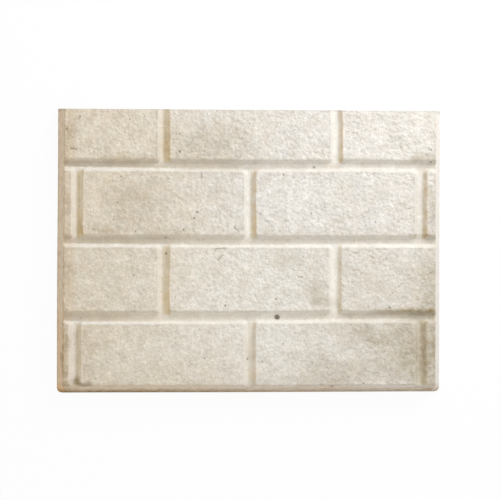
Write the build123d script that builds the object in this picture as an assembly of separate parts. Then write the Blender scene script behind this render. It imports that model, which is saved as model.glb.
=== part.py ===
from build123d import *

import math
import os

# Refractory stove panel, cast in one piece: a slab whose face is moulded as courses of brick in
# running bond, with recessed joints between the bricks.
# Frame: back face on Z = 0, brick face up, +X along the width, +Y towards the top edge, and the
# origin in the middle of the back. Millimetres and degrees.

# The slab
panel_width = 378.0
panel_height = 279.0
panel_thickness = 25.0
side_lean = 10.0  # each side edge leans in by this much between the back and the face
bottom_lean = 10.0  # and so does the bottom edge
top_lean = 3.0  # the top edge is nearly square
bottom_corner_radius = 5.0
face_arris_radius = 1.0  # where the leaning edges turn onto the face
top_arris_radius = 1.0  # where the top edge turns onto the face

# The brick pattern, laid up and down from the lowest bed joint and centred on the width
course_pitch = 73.0
brick_pitch = 166.0
first_joint_height = 76.3  # bottom edge to the middle of the lowest bed joint

# The joints between the bricks
joint_depth = 5.5
joint_floor_width = 5.0
joint_wall_angle = 25.0  # how far the walls lean from upright, to release from the mould
joint_root_radius = 1.5  # where a wall turns onto the joint floor
brick_edge_radius = 2.0  # where a wall turns onto the brick face
brick_corner_radius = 3.0  # the corners of the brick face, seen from the front

# The blow-hole, an air bubble that broke the surface of the lowest bed joint
blow_hole_diameter = 4.8
blow_hole_depth = 3.2
blow_hole_offset = 26.5  # to the right of the middle

# Worked out from the sizes above
bottom_edge = -panel_height / 2
first_joint = bottom_edge + first_joint_height
joint_floor_height = panel_thickness - joint_depth
wall_run = joint_depth * math.tan(math.radians(joint_wall_angle))


def moulded_slab():
    """The slab without its pattern: leaning edges all round, with rounded arrises."""
    half_width = panel_width / 2
    top_edge = panel_height / 2
    cross_section = Plane.XZ * Polygon(
        (-half_width, 0),
        (half_width, 0),
        (half_width - side_lean, panel_thickness),
        (side_lean - half_width, panel_thickness),
        align=None,
    )
    upright_section = Plane.YZ * Polygon(
        (bottom_edge, 0),
        (top_edge, 0),
        (top_edge - top_lean, panel_thickness),
        (bottom_edge + bottom_lean, panel_thickness),
        align=None,
    )
    slab = extrude(cross_section, amount=panel_height, both=True)
    slab &= extrude(upright_section, amount=panel_width, both=True)
    rising_edges = slab.edges().group_by(Axis.Z)[1]
    slab = fillet(rising_edges.group_by(Axis.Y)[0], bottom_corner_radius)
    face_edges = slab.edges().group_by(Axis.Z)[-1].sort_by(Axis.Y)
    slab = fillet(face_edges[:-1], face_arris_radius)
    top_face_edge = slab.edges().group_by(Axis.Z)[-1].sort_by(Axis.Y)[-1]
    return fillet(top_face_edge, top_arris_radius)


def brick_with_half_joints():
    """One brick of the pattern on its share of the slab, with half a joint on each side of it."""
    tile = Pos(0, 0, joint_floor_height / 2) * Box(brick_pitch, course_pitch, joint_floor_height)
    brick_base = RectangleRounded(
        brick_pitch - joint_floor_width, course_pitch - joint_floor_width, brick_corner_radius + wall_run
    )
    tile += extrude(Pos(0, 0, joint_floor_height) * brick_base, amount=joint_depth, taper=joint_wall_angle)
    brick_face = tile.faces().sort_by(Axis.Z)[-1]
    tile = fillet(brick_face.edges(), brick_edge_radius)
    joint_floor = tile.faces().filter_by(GeomType.PLANE).filter_by(Axis.Z).sort_by(Axis.Z)[-2]
    return fillet(joint_floor.inner_wires()[0].edges(), joint_root_radius)


def brick_places():
    """Brick centres that cover the slab: bricks and joints take turns on the centreline."""
    courses_down = math.ceil(first_joint_height / course_pitch)
    courses_up = math.ceil((panel_height - first_joint_height) / course_pitch)
    reach = math.ceil(panel_width / 2 / brick_pitch)
    places = []
    for course in range(-courses_down, courses_up):
        half_brick = brick_pitch / 2 * (course % 2)
        y = first_joint + (course + 0.5) * course_pitch
        places += [Pos(step * brick_pitch + half_brick, y) for step in range(-reach - 1, reach + 1)]
    return places


def blow_hole():
    """The bubble's cavity: part of a ball, as wide as the hole at the joint floor."""
    radius = blow_hole_diameter / 2
    ball_radius = (radius**2 + blow_hole_depth**2) / (2 * blow_hole_depth)
    centre_height = joint_floor_height - blow_hole_depth + ball_radius
    return Pos(blow_hole_offset, first_joint, centre_height) * Sphere(ball_radius)


tile = brick_with_half_joints()
pattern = Part() + [place * tile for place in brick_places()]
panel = moulded_slab() & pattern
panel -= blow_hole()

os.makedirs("parts", exist_ok=True)
export_step(panel, "parts/panel.step")
print("panel: solids", len(panel.solids()), "faces", len(panel.faces()), "volume", round(panel.volume))
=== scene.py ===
# %% [markdown]
# # A cast refractory panel, moulded as courses of brick
#
# The real object is one slab of fired refractory clay that lines a stove. It was cast face down in
# a mould, so its face carries four courses of brick in running bond, with soft edges, grainy faces
# and joints where dust settles. This lesson dresses the measured solid: it keeps every size and adds
# what a casting has and a drawing lacks, which is uneven edges, grain, pits, stains and worn colour.

# %% Load the measured solid
from math import cos, hypot, radians, sin
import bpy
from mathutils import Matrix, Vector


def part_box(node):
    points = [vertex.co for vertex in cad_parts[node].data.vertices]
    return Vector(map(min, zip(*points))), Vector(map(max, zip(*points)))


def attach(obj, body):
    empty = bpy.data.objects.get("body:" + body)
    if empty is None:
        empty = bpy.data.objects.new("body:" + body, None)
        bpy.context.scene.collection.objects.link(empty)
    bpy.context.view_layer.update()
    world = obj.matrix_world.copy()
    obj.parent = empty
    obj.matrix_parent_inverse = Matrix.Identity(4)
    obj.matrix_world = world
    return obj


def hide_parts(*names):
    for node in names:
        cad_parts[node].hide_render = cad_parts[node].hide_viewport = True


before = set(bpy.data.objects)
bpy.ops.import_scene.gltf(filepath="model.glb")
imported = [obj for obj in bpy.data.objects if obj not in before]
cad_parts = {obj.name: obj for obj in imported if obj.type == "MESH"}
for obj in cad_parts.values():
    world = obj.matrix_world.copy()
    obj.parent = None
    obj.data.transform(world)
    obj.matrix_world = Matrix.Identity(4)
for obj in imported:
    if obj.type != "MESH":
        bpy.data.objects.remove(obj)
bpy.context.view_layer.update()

from types import SimpleNamespace

import bmesh
import bpy
from mathutils import Euler, Vector, noise
from mathutils.bvhtree import BVHTree
from mathutils.kdtree import KDTree

MM = 0.001
low, high = (Vector(corner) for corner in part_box("panel"))
print("solid from", [round(v, 4) for v in low], "to", [round(v, 4) for v in high])

# %% [markdown]
# ## The camera
#
# The photograph looks at the brick face from straight in front. The panel lies on its back here, so
# the camera looks straight down, from the distance that gives the same slight perspective: the left
# side is a little nearer to it than the right.

# %% Set up the camera
camera_distance = 0.900
camera_aim = Vector((-0.0001, 0.00115, high.z))
camera_turn = Euler([radians(angle) for angle in (-0.15, -1.69, 0.14)])  # pitch, yaw and roll
camera_data = bpy.data.cameras.new("camera")
camera_data.lens = 67.34
camera_data.sensor_width = 36.0
camera = bpy.data.objects.new("camera", camera_data)
camera.rotation_euler = camera_turn
camera.location = camera_aim + camera_turn.to_matrix() @ Vector((0, 0, camera_distance))
bpy.context.scene.collection.objects.link(camera)
bpy.context.scene.camera = camera
print("camera at", [round(v, 4) for v in camera.location])

# %% [markdown]
# ## Nodes and colours
#
# Every material below is a small graph of nodes. One function adds a node, sets its values and links
# its inputs, so that each line reads as one step of the graph. Colours are written as sRGB hex, as a
# paint chart gives them, and a second function turns them into the linear values that light needs.


# %% Two helpers for materials
def add(tree, kind, inputs=None, **settings):
    """Add a node; an input takes a plain value, or a link where it is given another node's socket."""
    made = tree.nodes.new(kind)
    for name, value in settings.items():
        setattr(made, name, value)
    for name, value in (inputs or {}).items():
        if isinstance(value, bpy.types.NodeSocket):
            tree.links.new(value, made.inputs[name])
        else:
            made.inputs[name].default_value = value
    return made


def colour(srgb_hex):
    """A linear RGBA colour from sRGB hex digits."""
    shares = [int(srgb_hex[i:i + 2], 16) / 255 for i in (0, 2, 4)]
    return [s / 12.92 if s <= 0.04045 else ((s + 0.055) / 1.055) ** 2.4 for s in shares] + [1.0]


print("the grey 808080 reflects", round(colour("808080")[0], 3), "of the light")

# %% [markdown]
# ## Light
#
# The photograph has a bright, even room light and a lamp near the panel's upper right corner. The
# even part is a white world. The lamp is a soft disk close to the panel and a shade cooler than the
# room. Its light fades towards the lower left, and walls of the joints that face it are brighter than
# walls turned away. A picture of a real room could light the panel too, but two plain lights are easier
# to match to the photograph.


# %% Set up the world
def seen_share(tree):
    """1 for a ray that comes from the camera, also by way of a mirror or glass, and 0 for other light."""
    rays = add(tree, "ShaderNodeLightPath").outputs
    seen = rays["Is Camera Ray"]
    for kind in ("Is Glossy Ray", "Is Transmission Ray"):
        seen = add(tree, "ShaderNodeMath", {0: seen, 1: rays[kind]}, operation="MAXIMUM").outputs[0]
    return seen


room_light = 0.680
world = bpy.data.worlds.new("soft white room")
world.use_nodes = True
tree = world.node_tree
tree.nodes.clear()
level = add(tree, "ShaderNodeMapRange", {"Value": seen_share(tree), "To Min": room_light, "To Max": 1.0})
sky = add(tree, "ShaderNodeBackground", {"Color": colour("ffffff"), "Strength": level.outputs[0]})
add(tree, "ShaderNodeOutputWorld", {"Surface": sky.outputs[0]})
bpy.context.scene.world = world
bpy.context.scene.view_settings.view_transform = "Standard"
print("room light", room_light)

# %% Hang the lamp
lamp_place = Vector((0.385, 0.53, 0.50))
lamp_data = bpy.data.lights.new("near_lamp", "AREA")
lamp_data.shape = "DISK"
lamp_data.size = 0.45
lamp_data.energy = 3.50
lamp_data.color = (0.94, 0.965, 1.0)
lamp = bpy.data.objects.new("near_lamp", lamp_data)
lamp.location = lamp_place
lamp.rotation_euler = lamp_place.to_track_quat("Z", "Y").to_euler()
bpy.context.scene.collection.objects.link(lamp)
print("lamp", round(lamp_place.length, 3), "m from the panel's middle")

# %% [markdown]
# ## Floor
#
# The floor is white paper. Lamps strong enough to turn plain paper white would bleach the panel. So
# most of the paper glows at exactly white where the camera sees it, and the rest is a plain diffuse
# surface, on which the panel's soft shadow still shows.

# %% Make the paper
glowing_part = 0.93
paper = bpy.data.materials.new("white_paper")
paper.use_nodes = True
tree = paper.node_tree
tree.nodes.clear()
glow_share = add(tree, "ShaderNodeMath", {0: seen_share(tree), 1: glowing_part}, operation="MULTIPLY")
matt = add(tree, "ShaderNodeBsdfDiffuse", {"Color": colour("ffffff")})
glow = add(tree, "ShaderNodeEmission", {"Color": colour("ffffff"), "Strength": 1.0})
both = add(tree, "ShaderNodeMixShader", {0: glow_share.outputs[0], 1: matt.outputs[0], 2: glow.outputs[0]})
add(tree, "ShaderNodeOutputMaterial", {"Surface": both.outputs[0]})
print("paper glows by", glowing_part, "where it is seen")

# %% Lay the floor
floor_reach = 4.0
floor_mesh = bpy.data.meshes.new("floor")
shape = bmesh.new()
bmesh.ops.create_grid(shape, x_segments=1, y_segments=1, size=floor_reach)
shape.to_mesh(floor_mesh)
shape.free()
floor_mesh.materials.append(paper)
floor = bpy.data.objects.new("floor", floor_mesh)
bpy.context.scene.collection.objects.link(floor)
print("floor of", len(floor_mesh.polygons), "face")

# %% [markdown]
# ## The net of the cast surface
#
# The face could be put together from single bricks, but they would meet in seams that a casting
# doesn't have. It is one skin over bricks, joints and leaning edges, so it starts as one flat grid.
# Joints are narrow and bend sharply, faces are wide and calm: the grid's lines crowd together at the
# joints and edges and stand further apart between them, which spends the triangles where they show.

# %% Place the grid lines
brick_pitch = 166 * MM
course_pitch = 73 * MM
first_joint = low.y + 76.3 * MM
edge_lean = 10 * MM  # the sides and the bottom edge
top_lean = 3 * MM
bed_joints = [first_joint + course * course_pitch for course in range(3)]
head_joints = [half * brick_pitch / 2 for half in range(-2, 3)]


def crowded(start, end, open_step, places):
    """Positions from start to end, open_step apart, and closer where a place with a reach asks for it."""
    marks = [start]
    while marks[-1] < end:
        steps = [step for place, reach, step in places if abs(marks[-1] - place) < reach]
        marks.append(marks[-1] + min(steps, default=open_step))
    stretch = (end - start) / (marks[-1] - start)
    return [start + (mark - start) * stretch for mark in marks]


open_step = 1.3 * MM
tight_step = 0.78 * MM
top_step = 0.35 * MM  # the top edge is nearly upright, so it is narrow in plan
joint_reach = 8 * MM
side_reach = edge_lean + 6 * MM
bottom_reach = edge_lean + 4 * MM
top_reach = top_lean + 1.5 * MM
sides = [(side, side_reach, tight_step) for side in (low.x, high.x)]
ends = [(low.y, bottom_reach, tight_step), (high.y, top_reach, top_step)]
columns = crowded(low.x, high.x, open_step, [(x, joint_reach, tight_step) for x in head_joints] + sides)
rows = crowded(low.y, high.y, open_step, [(y, joint_reach, tight_step) for y in bed_joints] + ends)
print("grid of", len(columns), "by", len(rows), "lines")

# %% Make the grid
skin = bmesh.new()
paint_names = ("dust", "pale_and_painted_light", "ochre_and_warm_shade", "blush", "grime_and_shade", "soot_and_shade", "tooth")
paint = {name: skin.verts.layers.float.new(name) for name in paint_names}
bmesh.ops.create_grid(skin, x_segments=len(columns) - 1, y_segments=len(rows) - 1, size=0.5)
for vertex in skin.verts:
    column = round((vertex.co.x + 0.5) * (len(columns) - 1))
    row = round((vertex.co.y + 0.5) * (len(rows) - 1))
    vertex.co = (columns[column], rows[row], 0)
print("grid has", len(skin.verts), "vertices and", len(skin.faces), "faces")

# %% [markdown]
# ## Pits and scratches
#
# Air bubbles and stray grit left small pits, and tools left a few short scratches. Dark dots of paint
# could stand for them, but a real hollow is shaded rightly under any lamp, so they are pressed in. They
# are painted darker as well, which is partly painted shade. They are finer than the grid, so the grid
# is divided again around each of them. A scratch is a row of pits. The one large blow-hole in the
# lowest bed joint is part of the measured solid and needs only the finer grid; it is painted darker too.

# %% List the blemishes
pits = [  # place on the face from its middle and radius, in millimetres
    (62, 83, 1.1), (175, 100, 1.0), (72, 44, 0.9), (59, 38, 0.8), (10, 37.5, 0.8), (32, 75, 0.8),
    (121, 30, 0.8), (154, 43, 0.8), (-116, 128, 0.8), (-163.5, 130, 1.1), (-124, 73, 0.8),
    (-127, 48, 1.0), (-51, 39, 1.2), (-54, 33, 1.1), (-64, 22, 1.0), (-81, 14, 0.9), (-112, -22, 0.8),
    (-81, -1, 1.1), (-24, -51, 1.1), (-44, -102, 0.9), (-2, -103, 0.8), (175, -19, 0.9),
    (135, -53, 1.2), (80, -130, 1.2), (110, -126, 0.9), (60, -106, 0.8), (12, -105, 0.9),
    (25, -45, 1.1), (50, -23.5, 0.9), (47, -23.5, 0.7), (32, -88, 0.9), (-68, 114, 0.9), (-68, 97, 1.2),
    (-46, 108, 0.7), (-176, 118, 0.9), (175.5, 88, 1.0), (-110, 20, 0.9), (-15, 25, 1.0), (-131, 31, 0.7),
]
scratches = [  # middle, length and radius in millimetres, and turn in degrees from the X axis
    (-47, 74, 5, 0.8, 95), (-29, 4, 9, 0.6, 8), (-29, -5, 6, 0.7, 48), (-13, 22, 5, 0.7, -45),
    (118, -4, 6, 0.6, -30), (41, -16, 4, 0.5, -30), (-169, 99, 5, 0.9, -8), (101, 0, 6, 0.5, -12),
]
face_middle = Vector((0, (low.y + high.y - top_lean) / 2, 0))
pit_darkening, scratch_darkening = 0.6, 0.4  # how dark they are painted, partly as painted shade in the hollow
blemishes = [(face_middle + Vector((x, y, 0)) * MM, radius * MM, pit_darkening) for x, y, radius in pits]
for x, y, length, radius, turn in scratches:
    along = Vector((cos(radians(turn)), sin(radians(turn)), 0))
    steps = round(length / radius) + 1
    for step in range(steps):
        offset = length * (step / (steps - 1) - 0.5)
        place = Vector((x, y, 0)) + along * offset
        blemishes.append((face_middle + place * MM, radius * MM, scratch_darkening))
blemish_tree = KDTree(len(blemishes))
for index, (place, _, _) in enumerate(blemishes):
    blemish_tree.insert(place, index)
blemish_tree.balance()
print(len(pits), "pits and", len(scratches), "scratches")

# %% Divide the grid around them
blow_hole = Vector((26.5 * MM, first_joint, 0))
blow_hole_reach = 4.2 * MM
blemish_margin = 1.0 * MM


def fine(place):
    """Whether the grid is divided again at this place."""
    _, index, distance = blemish_tree.find(place)
    near_blemish = distance < blemishes[index][1] + blemish_margin
    return near_blemish or (place - blow_hole).length < blow_hole_reach


fine_vertices = {vertex for vertex in skin.verts if fine(vertex.co)}
fine_edges = [edge for edge in skin.edges if all(vertex in fine_vertices for vertex in edge.verts)]
bmesh.ops.subdivide_edges(skin, edges=fine_edges, cuts=2, use_grid_fill=True)
print("divided", len(fine_edges), "edges")

# %% [markdown]
# ## Draping the net over the solid
#
# The solid's own triangles are long and thin, and can't be worn or dented. So each vertex of the net
# drops straight down onto the solid instead. The place where it looks is first pushed about, so that
# the brick edges wander as a worn mould leaves them: a slow and a quick noise move them by a fraction
# of a millimetre, single head joints have slipped sideways, and the bed joints sag. The height is then
# averaged over a small ring, which wears every edge round. Near the slab's outline both fade to
# nothing, because the outline is the real size. Only its upper left and lower right corners lie a
# little inside the true square.


# %% Find the nearest joints
def ease(value, start, end):
    """0 before start, 1 past end, and a smooth change between them; start may be the larger one."""
    share = max(0.0, min(1.0, (value - start) / (end - start)))
    return share * share * (3 - 2 * share)


def blend(points, at):
    """Read a value from a list of places and values, straight between them."""
    for (start, first), (end, second) in zip(points, points[1:]):
        if at <= end:
            return first + (second - first) * max(0.0, at - start) / (end - start)
    return points[-1][1]


def nearest_joints(x, y):
    """Course, nearest head joint and bed joint, and how far right of and above them a place lies."""
    course = sum(y > joint for joint in bed_joints)
    heads = head_joints[course % 2::2]
    head = min(range(len(heads)), key=lambda index: abs(x - heads[index]))
    bed = min(range(len(bed_joints)), key=lambda index: abs(y - bed_joints[index]))
    return course, head, bed, x - heads[head], y - bed_joints[bed]


print("the middle of the face lies in course", nearest_joints(0, 0)[0] + 1, "from the bottom")

# %% Let the brick edges wander
noise_seed = 12
noise.seed_set(noise_seed)  # vector noise is shifted by a seed, so every run draws the same wander
slow_size, slow_push = 26 * MM, 0.5 * MM
quick_size, quick_push = 5 * MM, 0.4 * MM
head_slip = [(-1.8, 0.0, -0.5), (0.0, -0.4), (0.0, 0.0, -0.4), (0.0, 0.6)]  # mm right, courses from below
bed_sag = [  # for each bed joint from the bottom: share of the half width, and how many mm it sags there
    [(-1.0, 1.4), (0.0, 1.0), (0.5, 0.0)],
    [(-1.0, 0.6), (0.0, 0.6), (0.6, 0.2)],
    [(-1.0, 0.4), (0.1, 0.6), (0.6, 0.0)],
]
left_slip = [(-1.0, -0.4), (0.0, 0.1), (1.0, 0.2)]  # the left arris: share of the half height, mm right
right_slip = [(-1.0, 0.9), (1.0, 0.9)]  # and the right one


def to_blow_hole(x, y):
    """How far a place lies from the middle of the blow-hole."""
    return hypot(x - blow_hole.x, y - blow_hole.y)


def wander(x, y):
    """How far a brick edge at this place strays from the straight, as a vector; the blow-hole stays round."""
    inside = min(x - low.x, high.x - x, y - low.y, high.y - y) - edge_lean
    slow = noise.noise_vector(Vector((x, y, 0)) / slow_size) * slow_push
    quick = noise.noise_vector(Vector((x, y, 7)) / quick_size) * quick_push
    course, head, bed, right, above = nearest_joints(x, y)
    slip = head_slip[course][head] * MM * ease(abs(right), 40 * MM, 15 * MM) * ease(abs(above), 0, 2 * MM)
    sag = blend(bed_sag[bed], x / high.x) * MM * ease(abs(above), 20 * MM, 10 * MM)
    from_side = min(x - low.x, high.x - x)
    side_slip = blend(left_slip if x < 0 else right_slip, y / high.y) * MM
    side_slip *= ease(from_side, 0, 8 * MM) * ease(from_side, 20 * MM, 12 * MM)
    stray = (slow + quick) * ease(to_blow_hole(x, y), 3 * MM, 6 * MM)
    inner = (stray + Vector((-slip, sag, 0))) * max(0.0, min(1.0, inside / (4 * MM)))
    return inner + Vector((-side_slip, 0, 0))


print("an edge wanders by", round(wander(0, 0).length / MM, 2), "mm in the middle")

# %% Read the height of the solid
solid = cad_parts["panel"]
solid_tree = BVHTree.FromObject(solid, bpy.context.evaluated_depsgraph_get())


def surface_height(x, y):
    """Height of the measured solid at a place in plan, or 0 outside it."""
    hit = solid_tree.ray_cast(Vector((x, y, high.z + 1)), Vector((0, 0, -1)))[0]
    return hit.z if hit else 0.0


print("the joint floor lies", round(surface_height(0, first_joint) / MM, 2), "mm up")

# %% Wear the edges
ring = [Vector((cos(radians(60 * turn)), sin(radians(60 * turn)), 0)) for turn in range(6)]
plain_wear = 0.6 * MM
heavy_wear = 2.0 * MM
worn_spots = [  # middle, half width and half height in millimetres from the slab's middle
    (-70, -58, 150, 9), (88, -26, 10, 40),
]


def worn_height(x, y):
    """The height averaged over a small ring, which rounds every edge, and a larger one on worn spots."""
    to_outline = min(x - low.x, high.x - x, y - low.y, high.y - y)
    wear = plain_wear
    for middle_x, middle_y, half_width, half_height in worn_spots:
        away = max(abs(x / MM - middle_x) / half_width, abs(y / MM - middle_y) / half_height)
        wear = max(wear, plain_wear + (heavy_wear - plain_wear) * ease(away, 1.0, 0.5))
    wear *= ease(to_outline, 1.5 * MM, 5 * MM) * ease(to_blow_hole(x, y), 3 * MM, 6 * MM)
    if wear == 0:
        return surface_height(x, y)
    around = sum(surface_height(x + wear * step.x, y + wear * step.y) for step in ring)
    return (2 * surface_height(x, y) + around) / (2 + len(ring))


print("an edge of the middle brick is worn to", round(worn_height(0, first_joint + 5 * MM) / MM, 2), "mm")

# %% Drape the grid
corner_radius = 5 * MM
square_part = 0.9  # of the half width; the rest of a row is drawn in at a rounded corner
left_skew = 0.8 * MM  # how far the upper end of the left edge lies inside a true square
bottom_skew = 0.4 * MM  # and the right end of the bottom edge


def round_corner(x, y):
    """The place across the slab, drawn in where a row passes a rounded bottom corner."""
    rise = y - low.y
    start = square_part * high.x
    if rise >= corner_radius or abs(x) <= start:
        return x
    cut = corner_radius - (corner_radius**2 - (corner_radius - rise) ** 2) ** 0.5
    reach = (abs(x) - start) / (high.x - start)
    return (start + reach * (high.x - cut - start)) * (1 if x > 0 else -1)


pattern_places = []
for vertex in skin.verts:
    x, y = round_corner(vertex.co.x, vertex.co.y), vertex.co.y
    push = wander(x, y)
    pattern_places.append((x + push.x, y + push.y))
    inwards = left_skew * ease(x, -150 * MM, low.x) * ease(y, -60 * MM, 120 * MM)
    upwards = bottom_skew * ease(x, -40 * MM, high.x) * ease(y, -100 * MM, low.y)
    vertex.co = (x + inwards, y + upwards, worn_height(*pattern_places[-1]))
print("draped up to", round(max(vertex.co.z for vertex in skin.verts), 4))

# %% [markdown]
# ## Paint
#
# Colour follows use, and in places it stands for light and shade. Dust lies in the bed joints. The
# walls and rims that face up and to the right, towards the lamp, are painted pale as a painted
# highlight, the walls turned away from it get pale paint as painted bounce light, and the middle of
# some bed joints is painted paler to lift its shade. Worn patches of the face are scrubbed pale. The
# floors of the head joints and the walls in their shade are tinted ochre, partly a real tint and partly
# painted warm shade, and the slab's left and bottom edges have a warm blush. A warm line along the next
# brick in each head joint is partly painted shade. Grime gathers in ragged stains; under the bricks and
# along the bottom edge the darkening is painted shade. Soot lies in a few smudges. The pits, scratches
# and blow-hole are painted darker, partly as painted shade, the lowest edge is darkened further as
# painted shade, and a thin line along the top edge is darker. Each of these six paints is one number per
# vertex, worked out from the place on the brick. A seventh number, the tooth, says how rough the cast
# surface is there. Masks made of nodes could do this too, but a place on a brick is easier to work out
# here, once for each vertex, and the material only has to read the seven numbers.

# %% Describe the joints, course by course from the bottom
head_paints = [
    # for each head joint: where its floor darkens, in mm right of its middle, and then four shares:
    # a painted highlight on the left wall, which faces the lamp, the ochre floor, partly painted warm
    # shade, painted bounce light on the right wall, and a warm line of partly painted shade along the next
    # brick
    [(0.5, 0.6, 0.30, 0.35, 0.12), (-1.0, 0.55, 0.15, 0.4, 0.22), (0.8, 0.5, 0.35, 0.3, 0.05)],
    [(-0.8, 0.45, 0.50, 0.8, 0.20), (3.0, 0.85, 0.25, 0.4, 0.14)],
    [(-0.7, 0.65, 0.55, 0.6, 0.15), (0.8, 0.65, 0.45, 0.3, 0.25), (2.5, 0.45, 0.40, 0.4, 0.20)],
    [(-0.5, 0.25, 0.60, 0.8, 0.30), (2.3, 0.7, 0.30, 0.5, 0.42)],
]
bed_tone = [
    # for each bed joint: share of the half width, and how dusty its floor is there, or below 0 how much
    # paler it is painted, as painted light that lifts its shade
    [(-1.0, 0.2), (-0.5, 0.05), (-0.3, -0.35), (0.15, -0.6), (0.3, -0.4), (0.5, 0.2), (1.0, 0.35)],
    [(-1.0, 0.45), (-0.5, 0.35), (-0.3, 0.1), (0.5, 0.0), (0.85, 0.1), (1.0, 0.5)],
    [(-1.0, 0.7), (-0.5, 0.5), (-0.3, -0.1), (0.3, -0.1), (0.6, 0.1), (1.0, 0.35)],
]
bed_rim_highlight = [  # and how pale its lower wall is painted, a painted highlight where it faces up towards the lamp
    [(-1.0, 1.0), (0.3, 1.0), (0.6, 0.5)],
    [(-1.0, 0.8), (0.0, 1.0), (0.6, 0.8)],
    [(-1.0, 1.0), (0.0, 0.6), (0.6, 0.2)],
]
bed_foot = [  # and where its floor ends and that wall begins, in mm from the middle
    [(-1.0, -3.3), (0.0, -3.0), (0.5, -2.4)],
    [(-1.0, -2.1), (0.0, -2.9), (0.6, -2.3)],
    [(-1.0, -1.3), (0.0, -3.2), (0.6, -2.2)],
]
print(sum(len(course) for course in head_paints), "head joints and", len(bed_tone), "bed joints described")


# %% Paint the joints
def joint_paint(x, y):
    """Dust, pale and ochre shares that the joints give this place, and its share of a warm line; the pale
    is painted light, and the ochre and the warm line are partly painted shade.
    """
    course, head, bed, right, above = nearest_joints(x, y)
    rise = (y - first_joint - (course - 1) * course_pitch) / MM  # above the bed joint of its own course
    right, above, along = right / MM, above / MM, x / high.x
    beside_bed = ease(abs(above), 2.0, 4.5)
    uneven = 1 + 0.7 * noise.noise(Vector((x, y, 0)) / (8 * MM))

    # the bed joint: its floor, the dust along the floor's lower edge, and the wall below that, painted
    # pale as a painted highlight
    foot = blend(bed_foot[bed], along)
    tone = blend(bed_tone[bed], along) * ease(above, foot - 0.5, foot + 0.9) * ease(above, 5.0, 3.2)
    floor_edge = (0.22 - 0.16 * ease(along, 0.25, 0.6)) * ease(above, 1.5, -0.5)
    floor_edge *= ease(above, foot - 0.3, foot + 0.5)
    rim = blend(bed_rim_highlight[bed], along) * ease(above, foot + 0.6, foot - 0.6) * ease(above, -6.4, -4.5)

    # the head joint: a painted highlight on the wall that faces the lamp, painted bounce light on the wall
    # turned away, the dust and ochre on its floor, and the warm line, partly painted shade
    split, highlight_left, ochre_floor, bounce_right, line = head_paints[course][head]
    left_side = highlight_left * ease(right, -7.2, -4.2) * ease(right, split + 0.5, split - 1.5)
    right_side = bounce_right * ease(right, 1.5, 3.0) * ease(right, 5.6, 4.4)
    floor_dust = 0.05 + 0.35 * ochre_floor
    floor_dust *= ease(right, split - 2.0, split - 0.5) * ease(right, split + 3.0, split + 1.0)
    # ochre on the floor and the wall in the lamp's shade: partly a real tint, partly painted warm shade
    ochre_and_warm_shade = ochre_floor * (0.7 + 0.7 * ease(rise, 40, 10)) * uneven
    ochre_and_warm_shade *= ease(right, split - 1.5, split + 1.5) * ease(right, 7.0, 5.0)
    # a warm line of painted shade on the wall turned away from the lamp, partly its tan colour
    warm_shade_line = line * uneven * ease(right, 2.2, 3.8) * ease(right, 6.8, 5.2)

    dust = max(0.0, tone) + floor_edge + floor_dust * beside_bed
    # painted light: the pale rim, the lifted bed floor and both pale head joint walls
    pale_and_painted_light = max(rim, -tone, max(left_side, right_side) * beside_bed)
    pale_and_painted_light *= 1 - ease(floor_edge, 0.05, 0.2)
    return dust, pale_and_painted_light, ochre_and_warm_shade * beside_bed, warm_shade_line * beside_bed


print("paint in the middle of the lowest bed joint:", [round(v, 2) for v in joint_paint(0, first_joint)])

# %% List the stains
stains = [  # middle, half width and half height in millimetres, turn in degrees, and strength
    (185, -95, 75, 60, 0, 0.60), (190, -30, 50, 60, 0, 0.45), (190, 45, 36, 60, 0, 0.35),
    (190, -105, 22, 45, 0, 0.32), (116, -82, 36, 16, 0, 0.32), (63, -106, 18, 16, 0, 0.24),
    (140, -100, 50, 42, 0, 0.18), (95, -115, 50, 18, 0, 0.30), (150, -56, 48, 6, 0, 0.60),
    (165, -44, 15, 14, 0, 0.12), (110, -30, 60, 40, 0, 0.06), (41, -8, 26, 13, 0, 0.20),
    (65, -39, 19, 16, 0, 0.33), (60, -125, 60, 14, 0, 0.22), (167, 93, 17, 10, 0, 0.45),
    (142, 110, 18, 12, -30, 0.20), (-38, 102, 65, 36, 0, 0.30), (-108, 50, 46, 34, 0, 0.28),
    (-139, 23, 12, 6, 0, 0.40), (-100, 20, 65, 8, 0, 0.22), (-122, 90, 48, 7, 0, 0.24),
    (-163, 24, 4, 9, 0, 0.50), (-172, 114, 12, 28, 0, 0.24), (-177, -100, 7, 45, 0, 0.55),
    (-155, -95, 9, 45, 0, 0.15), (-165, -122, 4, 12, 0, 0.50), (-122, -44, 4, 3, 0, 0.40),
    (-170, -126, 14, 10, 0, 0.35), (165, 16, 16, 5, 0, 0.55), (-90, 97, 10, 14, 0, 0.20),
    (72, -48, 22, 8, 0, 0.30), (98, -72, 48, 9, 0, 0.25), (-177, 48, 7, 32, 0, 0.16),
    (177, 50, 8, 32, 0, 0.12), (-174, -22, 8, 32, 0, 0.20), (179, 106, 6, 28, 0, 0.20),
]
smudges = [  # of soot, in the same way
    (-157, -126, 10, 5, 12, 0.60), (-164, -124, 4, 5, 0, 0.20), (-30, 104, 12, 6, 20, 0.08),
]
pale_patches = [  # where the face is scrubbed
    (-15, -50, 130, 95, 0, 0.45), (45, 48, 50, 42, 0, 0.40), (75, 105, 45, 20, 0, 0.15),
    (140, 95, 80, 55, 0, 0.20), (-115, -100, 55, 30, 0, 0.14), (28, -85, 25, 22, 0, 0.20),
]


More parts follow.
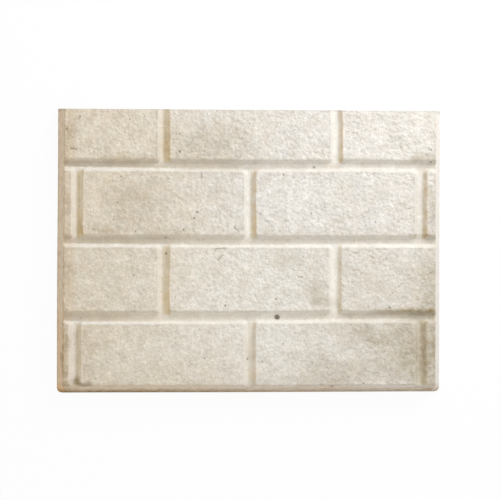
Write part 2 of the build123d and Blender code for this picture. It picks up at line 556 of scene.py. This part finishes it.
def cover(spots, x, y):
    """How strongly a list of ragged spots covers this place of the face."""
    ragged = noise.noise_vector(Vector((x, y, 3)) / (16 * MM)) * 6
    ragged += noise.noise_vector(Vector((x, y, 5)) / (5 * MM)) * 2
    total = 0.0
    for middle_x, middle_y, half_width, half_height, turn, strength in spots:
        rag = min(1.0, half_height / 12)
        dx = x / MM + ragged.x * rag - middle_x
        dy = (y - face_middle.y) / MM + ragged.y * rag - middle_y
        if abs(dx) < half_width + half_height and abs(dy) < half_width + half_height:
            c, s = cos(radians(turn)), sin(radians(turn))
            away = hypot((dx * c + dy * s) / half_width, (dy * c - dx * s) / half_height)
            total += strength * ease(away, 1.0, 0.2)
    return total


print("grime near the lower right corner:", round(cover(stains, 0.17, -0.1), 2))


# %% Measure from the slab's edges
def edges_at(x, y):
    """Distances from the edges, and shares of the face, the leaning edges and the arrises between them."""
    from_left, from_right, from_bottom = x - low.x, high.x - x, y - low.y
    face = ease(min(from_left, from_right, from_bottom), 0.85 * edge_lean, 1.1 * edge_lean)
    face *= ease(high.y - y, 0.5 * top_lean, 0.8 * top_lean)
    return SimpleNamespace(
        from_left=from_left,
        from_bottom=from_bottom,
        face=face,
        left=ease(from_left, 1.1 * edge_lean, 0.9 * edge_lean),
        right=ease(from_right, 1.1 * edge_lean, 0.8 * edge_lean),
        bottom=ease(from_bottom, 1.15 * edge_lean, 0.85 * edge_lean),
        left_strip=ease(from_left, 2.6 * edge_lean, 1.2 * edge_lean) * face,
        left_arris=ease(abs(from_left - edge_lean), 1.6 * MM, 0.6 * MM),
        right_arris=ease(abs(from_right - edge_lean), 1.6 * MM, 0.6 * MM),
    )


print("the middle lies on the face by", edges_at(0, 0).face)


# %% Mix the blush and the grime
def blush_at(x, y, edges, warm_shade_line):
    """The warm stain of the left and bottom edges and the strip beside the left one, and the warm tint of the
    lines of partly painted shade.
    """
    blush = (0.55 + 0.45 * ease(y, -40 * MM, -75 * MM)) * edges.left + 0.3 * edges.left_strip
    blush += (0.5 - 0.25 * ease(x, 60 * MM, 160 * MM)) * edges.bottom
    return blush + 0.3 * ease(edges.from_bottom, 6 * MM, 3 * MM) + 1.3 * warm_shade_line


def grime_and_shade_at(place, edges, warm_shade_line, right, above):
    """The stains of the face, thin lines along arrises, painted shade under bricks and on the bottom edge,
    and mottling on the edges.
    """
    x, y, _ = place
    grime_and_shade = 0.4 * warm_shade_line + cover(stains, x, y) * (1 - edges.right)
    grime_and_shade += 0.12 * edges.left_strip + 0.2 * edges.left_arris + 0.12 * edges.right_arris
    bottom_arris = ease(abs(edges.from_bottom - 10.9 * MM), 2.0 * MM, 0.6 * MM)
    grime_and_shade += 0.14 * bottom_arris * ease(x, 60 * MM, -60 * MM)
    # painted shade: the lower part of the bottom edge darkens towards the ground
    lower_edge_shade = ease(edges.from_bottom, 6.5 * MM, 4.2 * MM)
    grime_and_shade += (0.32 + 0.16 * ease(x, 50 * MM, -100 * MM)) * lower_edge_shade
    grime_and_shade += 0.25 * ease(edges.from_left, 2.5 * MM, 0)
    mottle = noise.noise(place / (6 * MM)) * max(edges.left, 0.7 * edges.bottom)
    # painted shadow along the rounded foot of each brick, just above the bed joint
    brick_foot_shade = ease(abs(above - 6.3 * MM), 1.7 * MM, 0.5 * MM) * ease(abs(right), 4 * MM, 7 * MM)
    return max(0.0, grime_and_shade + 0.5 * mottle) + 0.30 * brick_foot_shade * edges.face


on_bottom_edge = (0, low.y + edge_lean / 2)
print("blush on the bottom edge:", round(blush_at(*on_bottom_edge, edges_at(*on_bottom_edge), 0), 2))


# %% Mix the soot and set the tooth
def soot_and_shade_at(x, y, pattern_x, pattern_y):
    """Painted shade on the lowest edge, a darker top edge, soot smudges, and darker paint in hollows, partly
    painted shade.
    """
    # painted shade: darker towards the lowest edge, more so on the left; then a darker line along the top
    # edge
    soot_and_shade = (0.34 + 0.25 * ease(x, 50 * MM, -100 * MM)) * ease(pattern_y - low.y, 3.8 * MM, 1.0 * MM)
    soot_and_shade += cover(smudges, x, y) + 0.3 * ease(y, high.y - top_lean - 1.5 * MM, high.y - top_lean)
    # darker paint in the blow-hole and in pits and scratches, partly painted shade in these hollows
    soot_and_shade += 0.75 * ease(to_blow_hole(pattern_x, pattern_y), 2.3 * MM, 1.7 * MM)
    _, index, distance = blemish_tree.find(Vector((x, y, 0)))
    _, radius, darkness = blemishes[index]
    return soot_and_shade + darkness * ease(distance, 1.4 * radius, 0.4 * radius)


def tooth_at(x, y, edges, right, above):
    """How rough the surface is: most in the upper right, uneven, and calm in joints and on edges."""
    in_joint = max(ease(abs(above), 8 * MM, 5.5 * MM), ease(abs(right), 7.5 * MM, 5.5 * MM), 1 - edges.face)
    rougher = 1 + 0.55 * noise.noise(Vector((x, y, 21 * MM)) / (22 * MM))
    return (0.6 + 0.22 * ease(x / high.x + y / high.y, -1.0, 1.0)) * rougher * (1 - 0.7 * in_joint)


print("soot in the middle of the blow-hole:", round(soot_and_shade_at(*blow_hole.xy, *blow_hole.xy), 2))

# %% Paint the vertices
for vertex, (pattern_x, pattern_y) in zip(skin.verts, pattern_places):
    x, y, _ = vertex.co
    edges = edges_at(pattern_x, pattern_y)
    _, _, _, right, above = nearest_joints(pattern_x, pattern_y)
    dust, pale_and_painted_light, ochre_and_warm_shade, warm_shade_line = (share * edges.face for share in joint_paint(pattern_x, pattern_y))
    ochre_wash = 0.10 * ease(y, 40 * MM, -40 * MM) * ease(x, -140 * MM, -60 * MM)
    shares = {
        "dust": dust,
        "pale_and_painted_light": max(pale_and_painted_light, edges.face * cover(pale_patches, x, y)),
        "ochre_and_warm_shade": ochre_and_warm_shade + edges.face * ochre_wash,
        "blush": blush_at(x, y, edges, warm_shade_line),
        "grime_and_shade": grime_and_shade_at(vertex.co, edges, warm_shade_line, right, above),
        "soot_and_shade": soot_and_shade_at(x, y, pattern_x, pattern_y),
        "tooth": tooth_at(x, y, edges, right, above),
    }
    for name, share in shares.items():
        vertex[paint[name]] = share
print("painted", len(skin.verts), "vertices")

# %% [markdown]
# ## Closing the skin
#
# All four edges already reach the floor. The open rim steps in a little, as a cast edge is never
# sharp, and the back is one flat face, as the back of the real slab was struck off level. A Solidify
# modifier would give the skin a thin wall instead, but the real slab is solid.

# %% Turn the rim onto the back
back_arris = 0.7 * MM
weld_distance = 0.02 * MM
for vertex in skin.verts:
    if vertex.is_boundary:
        vertex.co.z = back_arris
made = bmesh.ops.extrude_edge_only(skin, edges=[edge for edge in skin.edges if edge.is_boundary])["geom"]
for vertex in [part for part in made if isinstance(part, bmesh.types.BMVert)]:
    vertex.co.x *= 1 - back_arris / high.x
    vertex.co.y *= 1 - back_arris / high.y
    vertex.co.z = 0
bmesh.ops.remove_doubles(skin, verts=skin.verts, dist=weld_distance)
bmesh.ops.contextual_create(skin, geom=[edge for edge in skin.edges if edge.is_boundary])
bmesh.ops.recalc_face_normals(skin, faces=skin.faces)
print("open edges left:", sum(edge.is_boundary for edge in skin.edges))

# %% [markdown]
# ## Relief
#
# The mould was dressed with coarse sand, so the faces swell and dimple, most of all in the upper
# right and in rougher patches. A bump in the material could draw all of it, but it wouldn't show along
# the panel's edges. So the coarser relief moves the vertices, and only the finest is left to the bump.
# Every move goes inwards along the surface, because the solid already has the full size.

# %% Press the relief into the skin
swell_size, swell_depth = 38 * MM, 0.35 * MM
dimple_size, dimple_depth = 4.2 * MM, 0.9 * MM
grit_size, grit_depth = 2.6 * MM, 0.45 * MM
pit_depth = 0.9  # of a pit's radius


def relief(place, tooth):
    """How deep the cast surface lies below the ideal one."""
    swell = 0.5 + 0.5 * noise.noise(place / swell_size)
    dimple = 0.5 + 0.5 * noise.noise(place / dimple_size)
    grit = 0.5 + 0.5 * noise.noise(place / grit_size)
    return swell_depth * swell + tooth * (dimple_depth * dimple + grit_depth * grit)


skin.normal_update()
moves = []
for vertex in skin.verts:
    _, index, distance = blemish_tree.find(Vector((vertex.co.x, vertex.co.y, 0)))
    radius = blemishes[index][1]
    pit = pit_depth * radius * ease(distance, 1.1 * radius, 0.2 * radius)
    depth = (relief(vertex.co, vertex[paint["tooth"]]) + pit) * ease(vertex.co.z, 0, 3 * MM)
    moves.append(vertex.normal * depth)
for vertex, move in zip(skin.verts, moves):
    vertex.co -= move
print("deepest relief", round(max(move.length for move in moves) / MM, 2), "mm")

# %% Turn the skin into the panel
sharp_angle = 55  # degrees
panel_mesh = bpy.data.meshes.new("cast_panel")
skin.to_mesh(panel_mesh)
skin.free()
panel_mesh.shade_smooth()
panel_mesh.set_sharp_from_angle(angle=radians(sharp_angle))
panel = bpy.data.objects.new("cast_panel", panel_mesh)
bpy.context.scene.collection.objects.link(panel)
panel_mesh.calc_loop_triangles()
print("cast panel has", len(panel_mesh.loop_triangles), "triangles")

# %% [markdown]
# ## Fired clay
#
# The material is fired refractory clay, cast and unglazed: chalky, rough and nearly without shine.
# Its body drifts from a warm cream on the left to a paler, greyer white on the right, with a faint
# uneven tint; the drift is partly the clay's own colour and partly painted light, a warmer tint on the
# left, away from the lamp. On top come the six paints, some of them painted light and shade, then grain
# at four sizes, whose dark parts are the warmer ones, and then a scatter of dark specks of burnt grit.
# Pictures of clay could be wrapped over it instead, but patterns made of nodes have a size in
# millimetres and stay sharp close up.

# %% Start the clay's body colour
clay = bpy.data.materials.new("fired_refractory_clay")
clay.use_nodes = True
tree = clay.node_tree
shader = tree.nodes["Principled BSDF"]
place = add(tree, "ShaderNodeTexCoord").outputs["Object"]
across = add(tree, "ShaderNodeSeparateXYZ", {"Vector": place}).outputs["X"]
cloud_size, cloud_reach = 55 * MM, 60 * MM
cloud = add(tree, "ShaderNodeTexNoise", {"Vector": place, "Scale": 1 / cloud_size, "Detail": 1.0})
cloud = add(
    tree, "ShaderNodeMapRange",
    {"Value": cloud.outputs["Fac"], "To Min": -cloud_reach, "To Max": cloud_reach},
)
drift = add(tree, "ShaderNodeMath", {0: across, 1: cloud.outputs[0]}, operation="ADD").outputs[0]
# partly painted light: paler and greyer on the right, nearer the lamp, and warmer on the left
paleness_and_lamp_light = add(
    tree, "ShaderNodeMapRange", {"Value": drift, "From Min": -170 * MM, "From Max": 55 * MM},
    interpolation_type="SMOOTHSTEP",
)
MIX_A, MIX_B, MIX_OUT = 6, 7, 2  # the colour sockets of a Mix node
body = add(
    tree, "ShaderNodeMix",
    {0: paleness_and_lamp_light.outputs[0], MIX_A: colour("e6dbca"), MIX_B: colour("e8e3dd")}, data_type="RGBA",
).outputs[MIX_OUT]
print("body colour drifts from warm cream to pale grey")

# %% Tint it unevenly
tint_size = 11 * MM
spread = add(tree, "ShaderNodeTexNoise", {"Vector": place, "Scale": 1 / tint_size, "Detail": 2.0})
tint = add(
    tree, "ShaderNodeMix",
    {0: spread.outputs["Fac"], MIX_A: colour("fff8ed"), MIX_B: colour("fafdfd")}, data_type="RGBA",
).outputs[MIX_OUT]
body = add(
    tree, "ShaderNodeMix", {0: 1.0, MIX_A: body, MIX_B: tint}, data_type="RGBA", blend_type="MULTIPLY"
).outputs[MIX_OUT]
print("tint changes about every", round(tint_size / MM), "mm")

# %% Lay the paints over it
breakup_size = 5 * MM
breakup = add(tree, "ShaderNodeTexNoise", {"Vector": place, "Scale": 1 / breakup_size, "Detail": 4.0})
breakup = breakup.outputs["Fac"]
paints = [  # the vertex paint, how it mixes, its colour, and how strongly the noise breaks it up
    ("dust", "MIX", "c8bdaa", 0.4), ("pale_and_painted_light", "MIX", "f4f0e8", 0.3),
    ("ochre_and_warm_shade", "MULTIPLY", "f5e9c6", 0.5), ("blush", "MULTIPLY", "ffedda", 0.4),
    ("grime_and_shade", "MULTIPLY", "c8bfab", 0.7), ("soot_and_shade", "MULTIPLY", "958f82", 0.3),
]
for name, blend_type, hue, uneven in paints:
    share = add(tree, "ShaderNodeAttribute", attribute_name=name).outputs["Fac"]
    least, most = 1 - uneven / 2, 1 + uneven / 2
    patch = add(
        tree, "ShaderNodeMapRange",
        {"Value": breakup, "From Min": 0.3, "From Max": 0.7, "To Min": least, "To Max": most},
    ).outputs[0]
    share = add(tree, "ShaderNodeMath", {0: share, 1: patch}, operation="MULTIPLY").outputs[0]
    body = add(
        tree, "ShaderNodeMix", {0: share, MIX_A: body, MIX_B: colour(hue)},
        data_type="RGBA", blend_type=blend_type, clamp_factor=blend_type == "MIX",
    ).outputs[MIX_OUT]
print(len(paints), "paints laid")

# %% Add the grain
# size in millimetres, and strength; the finest sand is smaller still and wouldn't show from here
grains = [(0.9, 0.50), (1.9, 0.34), (4.0, 0.38), (12, 0.36)]
tone = 1.0
for size, strength in grains:
    grain = add(tree, "ShaderNodeTexNoise", {"Vector": place, "Scale": 1 / (size * MM), "Detail": 1.0})
    share = add(
        tree, "ShaderNodeMapRange",
        {"Value": grain.outputs["Fac"], "To Min": 1 - strength / 2, "To Max": 1 + strength / 2},
    ).outputs[0]
    tone = add(tree, "ShaderNodeMath", {0: tone, 1: share}, operation="MULTIPLY").outputs[0]
print(len(grains), "sizes of grain")

# %% Calm the grain in the joints and warm its dark parts
tooth_share = add(tree, "ShaderNodeAttribute", attribute_name="tooth").outputs["Fac"]
on_brick = add(
    tree, "ShaderNodeMapRange",
    {"Value": tooth_share, "From Min": 0.2, "From Max": 0.48, "To Min": 0.5, "To Max": 1.0},
).outputs[0]
tone = add(tree, "ShaderNodeMapRange", {"Value": on_brick, "To Min": 1.0, "To Max": tone}).outputs[0]
powers = (0.90, 1.0, 1.16)  # red follows the tone least and blue most
warm = [add(tree, "ShaderNodeMath", {0: tone, 1: power}, operation="POWER").outputs[0] for power in powers]
warm_tone = add(tree, "ShaderNodeCombineXYZ", dict(zip("XYZ", warm))).outputs["Vector"]
body = add(tree, "ShaderNodeVectorMath", {0: body, 1: warm_tone}, operation="MULTIPLY").outputs["Vector"]
print("red, green and blue follow the grain by the powers", powers)

# %% Scatter dark specks
speck_spacing = 6.5 * MM
largest_speck = 0.75 * MM
speck_tone = 0.62
cells = add(tree, "ShaderNodeTexVoronoi", {"Vector": place, "Scale": 1 / speck_spacing}).outputs
pick = add(tree, "ShaderNodeSeparateColor", {"Color": cells["Color"]}).outputs
reach = add(
    tree, "ShaderNodeMapRange",
    {"Value": pick["Red"], "From Min": 0.45, "To Min": 0.0, "To Max": largest_speck / speck_spacing},
).outputs[0]
speck = add(tree, "ShaderNodeMath", {0: reach, 1: cells["Distance"]}, operation="SUBTRACT").outputs[0]
speck = add(
    tree, "ShaderNodeMapRange",
    {"Value": speck, "From Min": -0.03, "From Max": 0.05, "To Min": 1.0, "To Max": speck_tone},
).outputs[0]
body = add(tree, "ShaderNodeVectorMath", {0: body, "Scale": speck}, operation="SCALE").outputs["Vector"]
tree.links.new(body, shader.inputs["Base Color"])
print("a speck in about half of the cells,", speck_spacing / MM, "mm apart")

# %% Give the surface its tooth
rough = add(tree, "ShaderNodeMapRange", {"Value": breakup, "To Min": 0.82, "To Max": 0.98}).outputs[0]
tree.links.new(rough, shader.inputs["Roughness"])
shader.inputs["Specular IOR Level"].default_value = 0.25  # half the usual shine, as chalky clay has
tooth_height = 1.0 * MM
pebble_size, sand_size = 3.8 * MM, 2.2 * MM  # the sand is drawn coarser than it is, so that it shows
pebbles = add(
    tree, "ShaderNodeTexVoronoi", {"Vector": place, "Scale": 1 / pebble_size, "Smoothness": 0.35},
    feature="SMOOTH_F1",
).outputs["Distance"]
sand = add(tree, "ShaderNodeTexNoise", {"Vector": place, "Scale": 1 / sand_size, "Detail": 2.0})
tooth = add(tree, "ShaderNodeMath", {0: sand.outputs["Fac"], 1: pebbles}, operation="SUBTRACT").outputs[0]
bump = add(tree, "ShaderNodeBump", {"Strength": tooth_share, "Distance": tooth_height, "Height": tooth})
tree.links.new(bump.outputs["Normal"], shader.inputs["Normal"])
panel_mesh.materials.append(clay)
print("clay has", len(tree.nodes), "nodes")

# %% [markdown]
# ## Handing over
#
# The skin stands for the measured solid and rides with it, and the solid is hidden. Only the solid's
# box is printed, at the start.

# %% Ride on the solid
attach(panel, "root")
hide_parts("panel")
print(panel.name, "replaces the solid")
